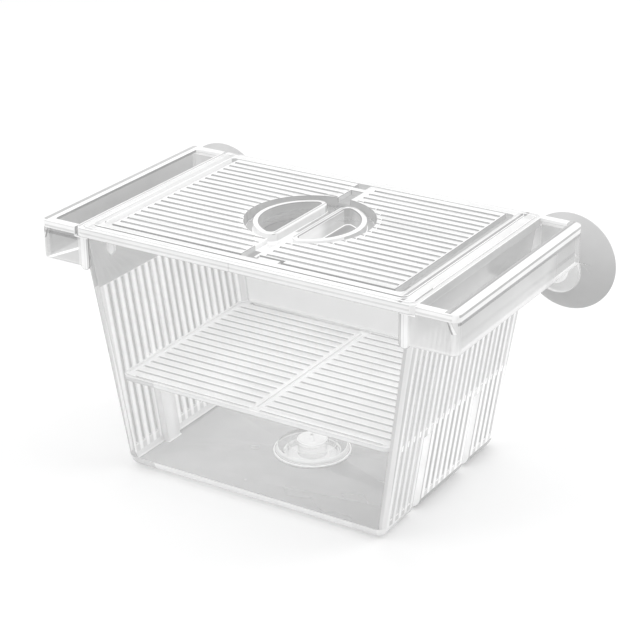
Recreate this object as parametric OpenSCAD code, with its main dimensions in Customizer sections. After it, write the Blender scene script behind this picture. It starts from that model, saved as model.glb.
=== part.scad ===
// Fish breeding box: a clear tapered tank with slotted ends, hung on an aquarium wall by two
// suction cups. It holds a slotted tray at half height and a slotted lid with a feeding hatch.
// Origin: centre of the base. X runs along the length, +Y points to the aquarium wall, Z is up.
// All sizes are in millimetres.

/* [Tank] */
// Length over the rim
rim_l = 163; // [152:1:174]
// Depth over the rim
rim_w = 111.5; // [106:0.5:118]
// Height from the base to the top of the rim
tank_h = 110.8; // [102:0.2:120]
// Length of the base, to where its sloping walls would meet the ground
foot_l = 128.5; // [120:0.5:136]
// Depth of the base, to where its sloping walls would meet the ground
foot_w = 99.7; // [96:0.1:103]
// Thickness of the tank walls and floor
wall = 2; // [1.6:0.1:2.4]
// Radius of the rounded upright edges, on the outside
edge_r = 4.5; // [3.5:0.5:5.5]
// Height over which the walls round into the floor
foot_r = 6.6; // [5.6:0.1:7.2]
// Height of the rim's outer face
rim_h = 4.2; // [3.6:0.2:5.4]
// Thickness of the lip that stands round the lid
lip_t = 2; // [1.6:0.1:2.4]
// How far the rim stands out over the walls
rim_out = 1; // [0.8:0.1:1.6]
// Radius of the rim's corners
rim_r = 3.5; // [3:0.5:5]
// How far the ledge under the lid reaches in from the walls
ledge_w = 1; // [0.6:0.1:1.6]

/* [End walls] */
// Distance between slots in the end walls
end_pitch = 4.85; // [4.2:0.05:5.4]
// Width of a slot in the end walls
end_slot_w = 1.5; // [1:0.1:2]
// Height of the lower end of the slots
end_slot_foot = 7.6; // [7.2:0.2:12]
// Height of the upper end of the slots
end_slot_top = 81.5; // [70:0.5:86]
// Distance of the tray pillars from the middle
pillar_y = 21.8; // [16:0.2:28]
// Width of a tray pillar
pillar_w = 9; // [7:0.2:10]
// How far a tray pillar stands out of the wall
pillar_d = 3.3; // [2.8:0.1:4]
// Height of the top of the tray pillars
pillar_top = 40; // [32:0.5:50]
// Thickness of the wall round the hollow of a tray pillar
pillar_t = 1.3; // [1:0.1:1.6]

/* [Hanging frames] */
// How far each frame reaches out past the rim
wing_out = 18.5; // [16:0.5:22]
// Height of the frame walls
wing_h = 17.3; // [14:0.1:20]
// Thickness of the frame walls
wing_t = 2; // [1.6:0.1:2.4]
// Width of the flange along the outer edge of the frame
flange_w = 5.2; // [4:0.1:6]
// Width of the flange along the front and back of the frame
side_flange_w = 3.5; // [3:0.1:5]
// Thickness of the flange
flange_t = 1.8; // [1.4:0.1:2.4]
// Width of the clip leg at each corner of the tank
leg_w = 5; // [4:0.1:6]
// How far the clip leg reaches below the frame
leg_drop = 1.6; // [1:0.1:2.4]
// Radius of the round tab that carries the suction cup
tab_r = 10.5; // [9:0.5:12]

/* [Lid] */
// Depth of the lid's seat below the top of the rim
seat_depth = 2.8; // [2.4:0.1:3.2]
// Thickness of the lid's flat plate
lid_plate_t = 1.4; // [1.2:0.1:1.7]
// Height of the lid's bars and beads above the rim
lid_rise = 0.9; // [0.4:0.1:1.2]
// Width of the lid's border at the two ends
border_l = 7.1; // [6:0.1:8]
// Width of the lid's border at the front and back
border_w = 5.1; // [4.4:0.1:6]
// Width of the bead along the inner edge of the border
bead_w = 3.2; // [2:0.1:3.6]
// Width of the flat strip between the border and the ends of the bars
end_strip = 3.9; // [2:0.1:6]
// Solid width between the ends of the slots and the ends of the bars
end_bar = 1; // [0.6:0.1:2]
// Distance between the lid's slots
lid_pitch = 4.76; // [4.2:0.02:5.4]
// Width of the lid's slots
lid_slot_w = 1.3; // [1:0.1:2]
// Width of the sunk strip that crosses the lid
spine_w = 6; // [4:0.1:8]
// Solid width between the sunk strip and the ends of the slots
spine_edge = 3.2; // [2:0.1:5]
// Length of the small pad in the groove at the front
pad_l = 10; // [6:0.5:14]
// Width of a locating tab
lid_tab_w = 4.1; // [3:0.1:5]
// Length of a locating tab below the plate
lid_tab_h = 9.2; // [6:0.1:11]
// Distance of the locating tabs from the middle
lid_tab_x = 66.6; // [50:0.1:68]

/* [Feeding hatch] */
// Radius of the round sunk area in the lid
sunk_r = 28; // [26.5:0.5:32]
// Depth of the hatch's seat below the top of the rim
hatch_seat = 5; // [4.4:0.1:6]
// Thickness of the collar round the hatch and of its ledge
collar_t = 1.8; // [1.4:0.1:2.4]
// Radius of the feeding hole in the collar
feed_r = 24.4; // [23:0.1:25.2]
// Thickness of the hatch's plate
hatch_t = 1.6; // [1.2:0.1:2]
// Thickness of the walls of the finger wells
well_t = 2.4; // [1.8:0.1:3]
// Width of the channel between the two finger wells
channel_w = 7; // [5:0.1:9]
// Depth of the finger wells below the hatch's plate
well_drop = 3.6; // [2.6:0.2:6]
// Radius of the corners of the finger wells
well_r = 4.4; // [3.4:0.1:6]

/* [Tray] */
// Thickness of the tray's bars
tray_t = 2; // [1.6:0.1:2.6]
// Height of the lip round the tray
tray_lip_h = 2.4; // [2.2:0.1:3.4]
// Width of that lip
tray_lip_w = 1.5; // [1.3:0.1:2]
// Distance between the tray's slots
tray_pitch = 5.34; // [4.6:0.02:6]
// Width of the tray's slots
tray_slot_w = 1.5; // [1:0.1:2.2]
// Width of the rib across the middle of the tray
cross_w = 5; // [4:0.1:8]
// Width of the slit along that rib
slit_w = 1.1; // [0.8:0.1:1.6]

/* [Suction cups] */
// Radius of the suction cup
cup_r = 21.8; // [18:0.2:24]
// Depth of the suction cup from its shoulder to its lip
cup_depth = 9.6; // [8:0.2:12]
// Distance of the cup's axis below the top of the rim
cup_drop = 22.5; // [21.5:0.1:25]
// Radius of the cup's neck
neck_r = 3.6; // [3:0.1:4.4]
// Radius of the head that holds the cup in its tab
head_r = 5.4; // [5:0.1:6.4]

/* [Drain plug] */
// Radius of the plug's dish
plug_r = 17.4; // [16:0.1:19]
// Radius of the drain hole in the floor
drain_r = 12.5; // [11:0.1:13.5]
// Height of the plug's dome above the floor
dome_h = 5.8; // [5:0.1:6.6]
// Radius of the hub in the middle of the dome
hub_r = 6.6; // [5:0.1:7]
// How far the hub stands out of the dome
hub_rise = 0.6; // [0.3:0.1:1.2]
// Thickness of the dome and of the spigot's wall
plug_t = 1.4; // [1.1:0.1:1.8]

/* [Clearances] */
// Gap round the lid in its seat
lid_gap = 0.3; // [0.2:0.05:0.5]
// Gap between the tray and the end walls
tray_gap = 0.5; // [0.3:0.1:1]
// Gap between the tray and the front and back walls
tray_side_gap = 1.9; // [0.5:0.1:2.5]
// Running gap round the cup's neck and the plug's spigot
run_gap = 0.05; // [0.03:0.01:0.1]
// Gap between flat faces that turn against each other
face_gap = 0.3; // [0.2:0.05:0.4]

/* [Hidden] */
$fn = 64;

// Facets round a rounded tank edge, and round the ball that shapes it
edge_fn = 32;
// Colour of the moulded parts and of the softer suction cups
clear = [0.86, 0.88, 0.89, 0.45];
soft = [0.74, 0.75, 0.76, 0.5];
// Long enough to cut through anything
far = 400;

// Slopes of the tank's walls, and the heights that follow from the rim
rim_foot = tank_h - rim_h;
seat_z = tank_h - seat_depth;
slope_x = (rim_l / 2 - rim_out - foot_l / 2) / rim_foot;
slope_y = (rim_w / 2 - rim_out - foot_w / 2) / rim_foot;

// Place of a wall's plane at height z, moved outwards by off from the line of the edge centres
function end_x(z, off) = foot_l / 2 + slope_x * z + (off - edge_r) * sqrt(1 + slope_x * slope_x);
function side_y(z, off) = foot_w / 2 + slope_y * z + (off - edge_r) * sqrt(1 + slope_y * slope_y);

// Largest number of copies to each side of the middle within half a width
function copies(half, pitch) = floor(half / pitch);

// End wall panel: the flat part of the end, a little larger than the field of slots
end_margin = 0.85;
end_flat = side_y(foot_r, 0);
end_n = copies(end_flat - end_margin - end_slot_w / 2, end_pitch);
panel_y = end_n * end_pitch + end_slot_w / 2 + end_margin;
panel_z0 = end_slot_foot - 1.2;
panel_z1 = end_slot_top + 1.5;
inner_off = edge_r - wall;

// Hanging frames
wing_x = rim_l / 2 + wing_out;
wing_z0 = tank_h - wing_h;
cup_x = rim_l / 2 + wing_out / 2 - 1.2;
cup_z = tank_h - cup_drop;
leg_x0 = end_x(wing_z0, edge_r) + 1 - leg_w;

// Opening of the tank inside the ledge
open_l = 2 * (end_x(rim_foot, inner_off) - ledge_w);
open_w = 2 * (side_y(rim_foot, inner_off) - ledge_w);

// Lid: border, sunk panel, field of bars and collar for the hatch
lid_l = rim_l - 2 * lip_t - 2 * lid_gap;
lid_w = rim_w - 2 * lip_t - 2 * lid_gap;
lid_r = rim_r - lip_t / 2;
panel_l = lid_l - 2 * border_l;
panel_w = lid_w - 2 * border_w;
lid_top = tank_h + lid_rise;
plate_top = seat_z + lid_plate_t;
strip_w = 1.2;
bars_l = panel_l - 2 * end_strip;
bars_w = panel_w - 2 * strip_w;
lid_n = copies(bars_w / 2 - 2, lid_pitch);
lid_tab_t = 1.6;
ledge_z = tank_h - hatch_seat;
hatch_top = tank_h + lid_rise / 2;

// Tray
tray_l = 2 * (end_x(pillar_top, inner_off) - tray_gap);
tray_w = 2 * (side_y(pillar_top, inner_off) - tray_side_gap);
tray_r = 5;
tray_slot_l = tray_l - 2 * tray_lip_w - 3;
// Slots to each side, the first one half a pitch from the middle
tray_n = copies((tray_w + tray_pitch - tray_slot_w) / 2 - tray_lip_w, tray_pitch);

// Rounded rectangle round the origin
module pad(l, w, r) {
    square([l - 2 * r, w], center = true);
    square([l, w - 2 * r], center = true);
    for (sx = [-1, 1], sy = [-1, 1])
        translate([sx * (l / 2 - r), sy * (w / 2 - r)]) circle(r);
}

// Block round the Z axis that stands on height z0
module slab(l, w, z0, z1) {
    translate([-l / 2, -w / 2, z0]) cube([l, w, z1 - z0]);
}

// Outline in X and Z, drawn out along Y to the width w
module along_y(w) {
    rotate([90, 0, 0]) linear_extrude(w, center = true) children();
}

// Ball with radius r and half height h, with vertices on its poles and its equator
module ball(r, h) {
    step = 360 / edge_fn;
    rotate_extrude($fn = edge_fn)
        polygon([for (a = [-90 : step : 90]) [r * max(0, cos(a)), h * sin(a)]]);
}

// Tapered tub with rounded edges, at depth t inside the tank's skin, far higher than the rim
module tub(t) {
    r = edge_r - t;
    h = foot_r - t;
    in_x = sqrt(r * r + pow(h * slope_x, 2));
    in_y = sqrt(r * r + pow(h * slope_y, 2));
    hull()
        for (sx = [-1, 1], sy = [-1, 1], z = [foot_r, tank_h + 20])
            translate([sx * (end_x(z, r) - in_x), sy * (side_y(z, r) - in_y), z]) ball(r, h);
}

// Space taken out of each end of the tank for its slotted panel
module end_window(side) {
    x0 = end_x(panel_z0, 0) - 3 * wall;
    scale([side, 1, 1])
        translate([x0, -panel_y, panel_z0])
            cube([rim_l, 2 * panel_y, panel_z1 - panel_z0]);
}

// The two pillars of the right end between heights z0 and z1, as solid blocks that reach from
// depth t inside their faces to far outside the end wall
module pillars(z0, z1, t) {
    intersection() {
        along_y(rim_w)
            polygon([
                [end_x(z0, inner_off) - pillar_d + t, z0],
                [end_x(z0, 4 * edge_r), z0],
                [end_x(z1, 4 * edge_r), z1],
                [end_x(z1, inner_off) - pillar_d + t, z1]
            ]);
        for (s = [-1, 1])
            translate([0, s * pillar_y - pillar_w / 2 + t, z0 - 1])
                cube([rim_l, pillar_w - 2 * t, z1 - z0 + 2]);
    }
}

module tank_shell() {
    color(clear)
    difference() {
        union() {
            intersection() {
                tub(0);
                slab(rim_l, rim_w, 0, seat_z);
            }
            translate([0, 0, rim_foot]) linear_extrude(rim_h) pad(rim_l, rim_w, rim_r);
        }
        difference() {
            intersection() {
                tub(wall);
                slab(rim_l, rim_w, 0, rim_foot);
            }
            for (s = [-1, 1]) scale([s, 1, 1]) pillars(0, panel_z0, 0);
        }
        for (s = [-1, 1]) scale([s, 1, 1]) pillars(-1, panel_z0 + 1, pillar_t);
        translate([0, 0, rim_foot - 1])
            linear_extrude(rim_h) pad(open_l, open_w, inner_off);
        translate([0, 0, seat_z])
            linear_extrude(rim_h) pad(rim_l - 2 * lip_t, rim_w - 2 * lip_t, rim_r - lip_t / 2);
        end_window(1);
        mirror([1, 0, 0]) end_window(1);
        translate([0, 0, -1]) cylinder(r = drain_r, h = wall + 2);
    }
}

// True for a slot that would run into a tray pillar
function at_pillar(y) = abs(abs(y) - pillar_y) < (pillar_w + end_slot_w) / 2 + 0.3;

// Slotted panel of the right end, with its two hollow pillars
module end_grille() {
    difference() {
        union() {
            along_y(2 * panel_y)
                polygon([
                    [end_x(panel_z0, inner_off), panel_z0],
                    [end_x(panel_z0, edge_r), panel_z0],
                    [end_x(panel_z1, edge_r), panel_z1],
                    [end_x(panel_z1, inner_off), panel_z1]
                ]);
            intersection() {
                pillars(panel_z0, pillar_top, 0);
                along_y(rim_w)
                    polygon([
                        [0, panel_z0],
                        [end_x(panel_z0, edge_r) - wall / 2, panel_z0],
                        [end_x(pillar_top, edge_r) - wall / 2, pillar_top],
                        [0, pillar_top]
                    ]);
            }
        }
        pillars(panel_z0 - 1, pillar_top - 2, pillar_t);
        for (i = [-end_n : end_n]) {
            y = i * end_pitch;
            z0 = at_pillar(y) ? pillar_top + 2 : end_slot_foot;
            translate([0, y - end_slot_w / 2, z0]) cube([rim_l, end_slot_w, end_slot_top - z0]);
        }
    }
}

module right_end_grille() {
    color(clear) end_grille();
}

module left_end_grille() {
    color(clear) mirror([1, 0, 0]) end_grille();
}

// Wall of the right frame between heights z0 and z1, tx thick at the end and ty at the sides
module wing_band(tx, ty, z0, z1) {
    translate([0, 0, z0])
        linear_extrude(z1 - z0)
            difference() {
                pad(2 * wing_x, rim_w, rim_r);
                pad(2 * (wing_x - tx), rim_w - 2 * ty, rim_r / 2);
                translate([-far + rim_l / 2, -far / 2]) square(far);
            }
}

// Clip leg of the right frame, against the front wall of the tank at its corner
module clip_leg() {
    leg_z0 = wing_z0 - leg_drop;
    tip_r = leg_w / 2;
    intersection() {
        rotate([90, 0, 90])
            linear_extrude(wing_x)
                polygon([
                    [-rim_w / 2, leg_z0],
                    [-side_y(leg_z0, edge_r), leg_z0],
                    [-side_y(rim_foot, edge_r), rim_foot],
                    [-rim_w / 2, rim_foot]
                ]);
        union() {
            translate([leg_x0, -far / 2, wing_z0])
                cube([rim_l / 2 + wing_t - leg_x0, far, wing_h]);
            translate([leg_x0, -far / 2, leg_z0 + tip_r]) cube([leg_w, far, wing_h]);
            translate([leg_x0 + tip_r, 0, leg_z0 + tip_r])
                rotate([90, 0, 0]) cylinder(r = tip_r, h = far, center = true);
        }
    }
}

// Right hanging frame: open box, flange, clip legs and the tab for the suction cup
module hanging_frame() {
    difference() {
        union() {
            wing_band(wing_t, wing_t, wing_z0, tank_h);
            wing_band(flange_w, side_flange_w, tank_h - flange_t, tank_h);
            clip_leg();
            mirror([0, 1, 0]) clip_leg();
            translate([cup_x, rim_w / 2, cup_z])
                rotate([90, 0, 0]) cylinder(r = tab_r, h = wing_t);
        }
        translate([cup_x, rim_w / 2 + 1, cup_z])
            rotate([90, 0, 0]) cylinder(r = neck_r + run_gap, h = wing_t + 2);
    }
}

module right_hanging_frame() {
    color(clear) hanging_frame();
}

module left_hanging_frame() {
    color(clear) mirror([1, 0, 0]) hanging_frame();
}

// Pointed tab that keeps the lid in place against the inside of the tank
module lid_tab() {
    tip = lid_tab_w * 0.6;
    translate([lid_tab_x, open_w / 2 - lid_gap, seat_z])
        rotate([90, 0, 0])
            linear_extrude(lid_tab_t)
                polygon([
                    [-lid_tab_w / 2, 0.5],
                    [-lid_tab_w / 2, tip - lid_tab_h],
                    [0, -lid_tab_h],
                    [lid_tab_w / 2, tip - lid_tab_h],
                    [lid_tab_w / 2, 0.5]
                ]);
}

module lid() {
    pad_x = 10.3;
    pad_w = 2.4;
    // The bar between the last two slots at the back crosses the sunk strip, and ends it
    cross_y0 = (lid_n - 1) * lid_pitch + lid_slot_w / 2;
    cross_y1 = lid_n * lid_pitch - lid_slot_w / 2;
    color(clear)
    difference() {
        union() {
            // Border, up to the height of the rim, and the bead along its inner edge
            translate([0, 0, seat_z]) linear_extrude(seat_depth) pad(lid_l, lid_w, lid_r);
            translate([0, 0, seat_z])
                linear_extrude(lid_top - seat_z)
                    pad(panel_l + 2 * bead_w, panel_w + 2 * bead_w, lid_r);
            // Collar that holds the hatch
            translate([0, 0, ledge_z - collar_t])
                cylinder(r = sunk_r + collar_t, h = seat_z - ledge_z + collar_t + 0.5);
            lid_tab();
            rotate([0, 0, 180]) lid_tab();
        }
        // Sunk panel with the field of bars and the pad left standing in it
        difference() {
            translate([0, 0, plate_top]) linear_extrude(far) pad(panel_l, panel_w, lid_r);
            difference() {
                slab(bars_l, bars_w, plate_top - 1, lid_top);
                translate([-spine_w / 2, -far, plate_top - 2]) cube([spine_w, far + cross_y0, far]);
                translate([-spine_w / 2 - 1, cross_y1, plate_top]) cube([spine_w, far, far]);
                translate([pad_x - pad_l / 2 - strip_w, -far, plate_top - 2])
                    cube([pad_l + 2 * strip_w, far - panel_w / 2 + pad_w + strip_w, far]);
            }
            translate([pad_x - pad_l / 2, -panel_w / 2 - 1, plate_top - 1])
                cube([pad_l, pad_w + 1, lid_top - plate_top + 1]);
        }
        // Slots between the bars, stopped at the sunk strip and at the collar
        for (i = [-lid_n : lid_n], s = [-1, 1])
            lid_slot(s, i * lid_pitch);
        // Round sunk area and feeding hole
        translate([0, 0, ledge_z]) cylinder(r = sunk_r, h = far);
        translate([0, 0, ledge_z - 2 * collar_t]) cylinder(r = feed_r, h = far);
    }
}

// One slot of the lid at depth y, on side s of the sunk strip
module lid_slot(s, y) {
    r = sunk_r + collar_t + 0.2;
    x_round = abs(y) < r ? sqrt(r * r - y * y) : 0;
    x0 = max(spine_w / 2 + spine_edge, x_round);
    x1 = bars_l / 2 - end_bar;
    if (x1 > x0 + 2)
        scale([s, 1, 1])
            translate([x0, y - lid_slot_w / 2, seat_z - 1]) cube([x1 - x0, lid_slot_w, far]);
}

// Point on a circle of radius r round c
function on_circle(c, r, a) = c + r * [cos(a), sin(a)];

// Outline of a D: a disc of radius r cut off straight at distance x0, its corners rounded by rc
function d_outline(r, x0, rc) =
    let (
        xc = x0 + rc,
        yc = sqrt(pow(r - rc, 2) - pow(xc, 2)),
        a = atan2(yc, xc)
    )
    concat(
        [for (i = [0 : 24]) on_circle([0, 0], r, a * (i / 12 - 1))],
        [for (i = [1 : 6]) on_circle([xc, yc], rc, a + (180 - a) * i / 6)],
        [for (i = [0 : 5]) on_circle([xc, -yc], rc, 180 + (180 - a) * i / 6)]
    );

// Plate with two finger wells that stand up through the sunk area and reach down into the hole
module feeding_hatch() {
    well_z = ledge_z - well_drop;
    out_r = feed_r - 0.4;
    x0 = channel_w / 2;
    color(clear)
    difference() {
        union() {
            translate([0, 0, ledge_z]) cylinder(r = sunk_r - lid_gap, h = hatch_t);
            for (a = [0, 180])
                rotate([0, 0, a])
                    translate([0, 0, well_z])
                        linear_extrude(hatch_top - well_z) polygon(d_outline(out_r, x0, well_r));
        }
        for (a = [0, 180])
            rotate([0, 0, a])
                translate([0, 0, well_z + hatch_t])
                    linear_extrude(far) polygon(d_outline(out_r - well_t, x0 + well_t, well_r - well_t));
    }
}

module nursery_tray() {
    z0 = pillar_top;
    side_l = tray_slot_l / 2 - cross_w / 2;
    corner_l = tray_l / 2 - tray_r - 1 - cross_w / 2;
    color(clear)
    difference() {
        union() {
            translate([0, 0, z0]) linear_extrude(tray_t) pad(tray_l, tray_w, tray_r);
            translate([0, 0, z0])
                linear_extrude(tray_lip_h)
                    difference() {
                        pad(tray_l, tray_w, tray_r);
                        pad(tray_l - 2 * tray_lip_w, tray_w - 2 * tray_lip_w, tray_r - tray_lip_w / 2);
                    }
        }
        // Slots, shorter where the tray's corners are round
        for (i = [0.5 : tray_n - 0.5], sx = [-1, 1], sy = [-1, 1]) {
            y = i * tray_pitch;
            scale([sx, sy, 1])
                translate([cross_w / 2, y - tray_slot_w / 2, z0 - 1])
                    cube([y > tray_w / 2 - tray_r ? corner_l : side_l, tray_slot_w, tray_t + 2]);
        }
        slab(slit_w, 2 * (tray_n - 1) * tray_pitch, z0 - 1, z0 + tray_t + 1);
    }
}

// Suction cup of the right frame, turned round its own axis. Its profile runs from the head,
// along the neck and the bell's outside to the lip, and back along the hollow.
module suction_cup() {
    head_t = 3;
    bell_t = 1.3;
    y_neck = wing_t + face_gap;
    hub = neck_r + 3.4;
    function bell_y(u) = face_gap + cup_depth * (0.22 + 0.78 * pow(u, 1.7));
    translate([cup_x, rim_w / 2, cup_z])
        rotate([-90, 0, 0])
            rotate_extrude()
                polygon(concat(
                    [[0, -y_neck - head_t]],
                    [for (a = [0 : 15 : 75]) [head_r - 1.8 + 1.8 * sin(a), -y_neck - head_t + 1.8 * (1 - cos(a))]],
                    [[head_r, -y_neck], [neck_r, -y_neck], [neck_r, face_gap], [hub, face_gap]],
                    [for (u = [0 : 0.2 : 1]) [hub + 0.8 + (cup_r - hub - 0.8) * u, bell_y(u)]],
                    [[cup_r, face_gap + cup_depth + bell_t / 2], [cup_r - 1, face_gap + cup_depth + bell_t / 2]],
                    [for (u = [0.9 : -0.15 : 0]) [hub + (cup_r - hub - 0.6) * u, bell_y(u) + bell_t]],
                    [[0, bell_y(0) + bell_t]]
                ));
}

module right_suction_cup() {
    color(soft) suction_cup();
}

module left_suction_cup() {
    color(soft) mirror([1, 0, 0]) suction_cup();
}

// Drain plug in the middle of the floor: a domed cap on a flange, open below, with a hollow spigot
// in the drain hole and a hub with a coin slot
module drain_plug() {
    flange = 1.3;
    flange_h = 1.1;
    post_z = 0.8;
    slot_w = 1.2;
    slot_d = 1.2;
    spigot_r = drain_r - run_gap;
    hollow_r = spigot_r - plug_t;
    // The dome is a quarter of an ellipse outside the hub
    dome_r = hub_r + 1;
    reach = plug_r - flange - dome_r;
    rise = dome_h - flange_h;
    hollow_a = acos((hollow_r - dome_r) / (reach - plug_t));
    function dome(a, t) = [dome_r + (reach - t) * cos(a), wall + flange_h + (rise - t) * sin(a)];
    hub_top = wall + dome_h + hub_rise;
    color(clear)
    difference() {
        rotate_extrude()
            polygon(concat(
                [[0, post_z], [hub_r, post_z], [hub_r, dome(90, plug_t)[1]]],
                [for (i = [4 : -1 : 0]) dome(hollow_a + (90 - hollow_a) * i / 4, plug_t)],
                [[hollow_r, 0], [spigot_r, 0], [spigot_r, wall], [plug_r, wall]],
                [[plug_r, wall + flange_h - 0.4], [plug_r - 0.4, wall + flange_h]],
                [for (i = [0 : 9]) dome(i * 10, 0)],
                [[hub_r, wall + dome_h], [hub_r - 0.3, hub_top - 0.2], [hub_r - 0.8, hub_top]],
                [[0, hub_top]]
            ));
        translate([0, 0, hub_top])
            rotate([0, 0, -55]) cube([hub_r * 1.1, slot_w, 2 * slot_d], center = true);
    }
}

tank_shell();
left_end_grille();
right_end_grille();
left_hanging_frame();
right_hanging_frame();
lid();
feeding_hatch();
nursery_tray();
left_suction_cup();
right_suction_cup();
drain_plug();
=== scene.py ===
"""Looks for a clear fish breeding box: tank, slotted ends, hanging frames, lid, hatch, tray, cups and plug.

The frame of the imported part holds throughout: X along the box, +Y towards the wall it hangs on, Z up.
Pieces are shaped in millimetres and turned into metres when they are finished.
"""
import math

import bmesh
import bpy
from mathutils import Matrix, Vector

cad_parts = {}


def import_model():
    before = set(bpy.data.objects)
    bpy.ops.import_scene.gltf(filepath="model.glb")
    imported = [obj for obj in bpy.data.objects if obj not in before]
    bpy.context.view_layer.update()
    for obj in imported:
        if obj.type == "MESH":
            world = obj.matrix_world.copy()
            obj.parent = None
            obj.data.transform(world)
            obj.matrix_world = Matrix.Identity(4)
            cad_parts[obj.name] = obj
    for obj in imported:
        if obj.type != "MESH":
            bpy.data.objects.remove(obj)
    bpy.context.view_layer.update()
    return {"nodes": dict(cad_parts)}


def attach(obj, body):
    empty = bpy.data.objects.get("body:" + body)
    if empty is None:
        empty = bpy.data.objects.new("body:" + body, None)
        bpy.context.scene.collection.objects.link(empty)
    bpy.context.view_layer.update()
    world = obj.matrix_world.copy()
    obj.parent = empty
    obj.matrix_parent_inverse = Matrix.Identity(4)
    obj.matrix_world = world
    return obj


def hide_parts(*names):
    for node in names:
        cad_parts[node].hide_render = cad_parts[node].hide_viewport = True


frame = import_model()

# Camera: what it looks at, how far it stands, and its angles in degrees
AIM = Vector((0.00327, 0.00204, 0.06505))
DISTANCE = 0.81849
AZIMUTH = 32.013
ELEVATION = 24.058
ROLL = -0.498
LENS = 107.04
SENSOR = 36

# Tank, in millimetres
RIM_L, RIM_W, TANK_H = 163.0, 111.5, 110.8
FOOT_L, FOOT_W = 128.5, 99.7
WALL, EDGE_R, FOOT_R = 2.0, 4.5, 6.6
RIM_H, LIP, RIM_OUT, RIM_R, LEDGE = 4.2, 2.0, 1.0, 3.5, 1.0
RIM_FOOT = TANK_H - RIM_H
SLOPE_X = (RIM_L / 2 - RIM_OUT - FOOT_L / 2) / RIM_FOOT
SLOPE_Y = (RIM_W / 2 - RIM_OUT - FOOT_W / 2) / RIM_FOOT
INNER = EDGE_R - WALL
DRAIN_R = 12.5

# End slots and tray pillars
END_PITCH, END_ROWS, END_SLOT, END_Z0, END_Z1 = 4.85, 19, 1.5, 7.6, 81.5
PILLAR_Y, PILLAR_W, PILLAR_D, PILLAR_T, PILLAR_TOP = 21.8, 9.0, 3.3, 1.3, 40.0
PILLAR_Z0, PILLAR_OUT = 1.5, 3.5
PILLAR_FOOT_X, PILLAR_BEND = 62.5, 7.0      # below the bend a pillar stays inside the tank's round foot

# Lid
SEAT = TANK_H - 2.8
LID_TOP, PLATE_TOP = TANK_H + 0.9, SEAT + 1.4
LID_L, LID_W, LID_R = 158.4, 106.9, 2.5
PANEL_L, PANEL_W = LID_L - 14.2, LID_W - 10.2
BEAD = 3.2
BARS_L, BARS_W = PANEL_L - 7.8, PANEL_W - 2.4
LID_PITCH, LID_ROWS, LID_SLOT = 4.76, 19, 1.3
SPINE, SPINE_EDGE, END_BAR = 6.0, 3.2, 1.0
LAST_ROW = (LID_ROWS - 1) / 2 * LID_PITCH
SUNK_R, COLLAR, FEED_R, HATCH_SEAT = 28.0, 1.8, 24.4, TANK_H - 5
FRONT_GROOVE = 4 - BARS_W / 2
LOCATOR_X, LOCATOR_HALF, LOCATOR_Y0, LOCATOR_Y1 = 66.6, 2.05, 49.75, 51.35
LOCATOR_SHOULDER, LOCATOR_TIP = SEAT - 6.74, SEAT - 9.2
# Painted highlight: from GLARE to the hatch the sunk strip is painted bright.
GLARE = -37.0       # the sunk strip catches the light from here to the hatch
WELL_X = 12.0       # middle of a finger well

# Tray
TRAY_T, TRAY_LIP_H, TRAY_LIP_W, TRAY_R = 2.0, 2.4, 1.5, 5.0
TRAY_PITCH, TRAY_ROWS, TRAY_SLOT, CROSS = 5.34, 18, 1.5, 5.0

# Hanging frames
FLANGE_Z, LEG_EDGE, LEG_FRONT, FLANGE_EDGE = TANK_H - 3.4, 74.5, -54.0, 94.8

# Suction cups
CUP_X, CUP_Z, CUP_R, CUP_DEPTH = RIM_L / 2 + 8.05, TANK_H - 22.5, 21.8, 9.6
NECK_R, HEAD_R, HEAD_T, HEAD_ROUND, BELL_T = 3.6, 5.4, 3.0, 1.8, 1.3
FRAME_T, FACE_GAP = 2.0, 0.3

# Drain plug
PLUG_R, DOME_H, HUB_R, HUB_RISE, PLUG_T = 17.4, 5.8, 6.6, 0.6, 1.4
PLUG_FLANGE, PLUG_FLANGE_H, HUB_SLOT, HUB_SLOT_TURN = 1.3, 1.1, 1.2, -55


class Socket:
    """A node socket that works in Python expressions: each operator adds a Math node."""

    def __init__(self, tree, socket):
        self.tree, self.socket = tree, socket

    def math(self, operation, *values):
        return self.tree.node("ShaderNodeMath", {"operation": operation}, dict(enumerate((self, *values))))

    def __add__(self, other):
        return self.math("ADD", other)

    def __sub__(self, other):
        return self.math("SUBTRACT", other)

    def __rsub__(self, other):
        return self.tree.node("ShaderNodeMath", {"operation": "SUBTRACT"}, {0: other, 1: self})

    def __mul__(self, other):
        return self.math("MULTIPLY", other)

    def __truediv__(self, other):
        return self.math("DIVIDE", other)

    def __pow__(self, other):
        return self.math("POWER", other)

    def __lt__(self, other):
        return self.math("LESS_THAN", other)

    def __gt__(self, other):
        return self.math("GREATER_THAN", other)

    def __abs__(self):
        return self.math("ABSOLUTE")

    __radd__ = __add__
    __rmul__ = __mul__

    def sqrt(self):
        return self.math("SQRT")

    def largest(self, other):
        return self.math("MAXIMUM", other)

    def clamp(self):
        return self.tree.node("ShaderNodeClamp", {}, {"Value": self})

    def ramp(self, low, high, start=0.0, end=1.0):
        values = {"Value": self, "From Min": low, "From Max": high, "To Min": start, "To Max": end}
        return self.tree.node("ShaderNodeMapRange", {"interpolation_type": "SMOOTHSTEP"}, values)

    def parts(self):
        """The X, Y and Z of a vector."""
        made = self.tree.nodes.new("ShaderNodeSeparateXYZ")
        self.tree.links.new(self.socket, made.inputs[0])
        return [Socket(self.tree, made.outputs[i]) for i in range(3)]


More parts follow.
